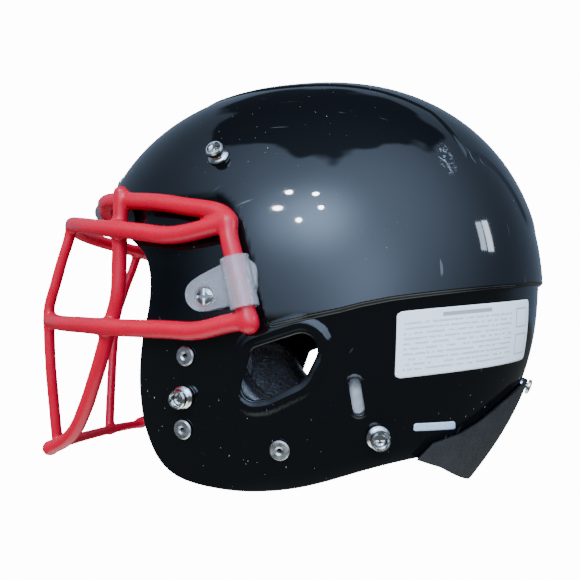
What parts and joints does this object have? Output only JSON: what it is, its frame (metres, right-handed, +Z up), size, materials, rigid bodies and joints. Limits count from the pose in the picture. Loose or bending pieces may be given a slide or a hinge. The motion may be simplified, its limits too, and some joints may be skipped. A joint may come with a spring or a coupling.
{
  "type": "american football helmet",
  "caption": "Glossy black protective helmet with a red wire facemask held by clear side straps, chrome chin strap snaps and a padded liner.",
  "frame": {"origin": "centre of the bounding box at the level of the surface the helmet stands on", "axes": "+Z up, the wearer looks along -Y, +X is the wearer's left"},
  "size_m": [0.2518, 0.3363, 0.2557],
  "materials": {
    "shell_black": "glossy black moulded shell with light scratches",
    "rubber_black": "satin black rubber",
    "mask_red": "thick glossy red dip coating over welded steel wire",
    "strap_clear": "clear moulded plastic",
    "clip_black": "black moulded plastic",
    "snap_chrome": "bright plated",
    "screw_steel": "plated steel",
    "nut_steel": "plain steel",
    "rivet_steel": "satin steel",
    "jaw_pad_vinyl": "glossy black vinyl cover over foam",
    "liner_grey": "light grey fabric over foam"
  },
  "bodies": {
    "root": {"shell": "shell_black", "front_bumper": "rubber_black", "rear_bumper": "rubber_black", "rear_bumper_screws": "screw_steel", "rear_bumper_tnuts": "nut_steel", "mask_top_wire": "mask_red", "mask_brow_wire": "mask_red", "mask_lower_wire": "mask_red", "mask_outer_upright_left": "mask_red", "mask_outer_upright_right": "mask_red", "mask_inner_upright_left": "mask_red", "mask_inner_upright_right": "mask_red", "mask_chin_cross_wire": "mask_red", "side_strap_left": "strap_clear", "side_strap_right": "strap_clear", "side_strap_screws": "screw_steel", "side_strap_tnuts": "nut_steel", "forehead_clip_left": "clip_black", "forehead_clip_right": "clip_black", "forehead_clip_screws": "screw_steel", "forehead_clip_tnuts": "nut_steel", "chin_snap_studs": "snap_chrome", "chin_snap_screws": "screw_steel", "chin_snap_tnuts": "nut_steel", "jaw_pad_rivets": "rivet_steel", "jaw_pad_rivet_washers": "rivet_steel", "crown_pad": "liner_grey", "front_pad": "liner_grey", "back_pad": "liner_grey", "side_pad_left": "liner_grey", "side_pad_right": "liner_grey", "temple_pad_left": "liner_grey", "temple_pad_right": "liner_grey", "jaw_pad_left": "jaw_pad_vinyl", "jaw_pad_right": "jaw_pad_vinyl"}
  },
  "joints": []
}
